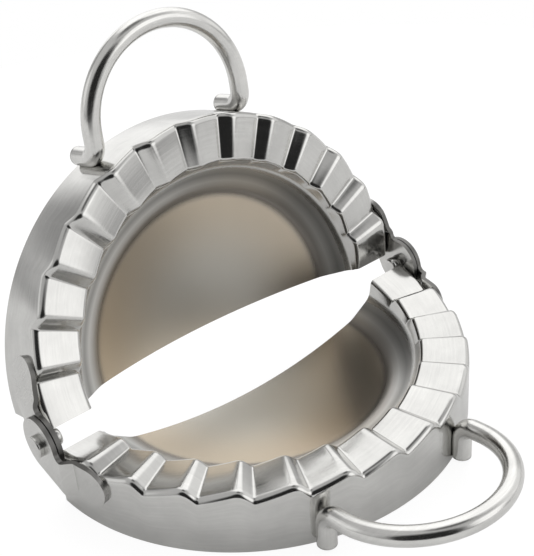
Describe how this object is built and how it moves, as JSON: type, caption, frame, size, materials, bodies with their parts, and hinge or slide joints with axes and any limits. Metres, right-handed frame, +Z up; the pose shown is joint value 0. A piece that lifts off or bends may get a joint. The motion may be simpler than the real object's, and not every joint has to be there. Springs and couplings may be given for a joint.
{
  "type": "empanada press",
  "caption": "Hinged hand press of stainless steel: two half-round shells with a crimped flange round a bowl, each with a wire loop handle. It cuts, folds and seals a filled dough disc.",
  "frame": {"origin": "centre of the bounding box's underside, on the surface the press stands on", "axes": "+X along the hinge line, +Y from the lower handle towards the raised upper half, +Z up"},
  "size_m": [0.1024, 0.0982, 0.084],
  "materials": {
    "pressed_sheet": "satin pressed stainless steel sheet",
    "handle_wire": "polished stainless steel wire",
    "hinge_tab": "satin stainless steel tab",
    "rivet": "turned and peened stainless steel rivet"
  },
  "bodies": {
    "lower_half": {"lower_shell": "pressed_sheet", "lower_handle": "handle_wire", "lower_left_tab": "hinge_tab", "lower_right_tab": "hinge_tab", "left_rivet": "rivet", "right_rivet": "rivet"},
    "upper_half": {"upper_shell": "pressed_sheet", "upper_handle": "handle_wire", "upper_left_tab": "hinge_tab", "upper_right_tab": "hinge_tab"}
  },
  "joints": [
    {"name": "hinge", "type": "hinge", "parent": "lower_half", "child": "upper_half", "pos_m": [0, 0.02353, 0.014], "axis": [1, 0, 0], "range_deg": [-76, 104]}
  ]
}
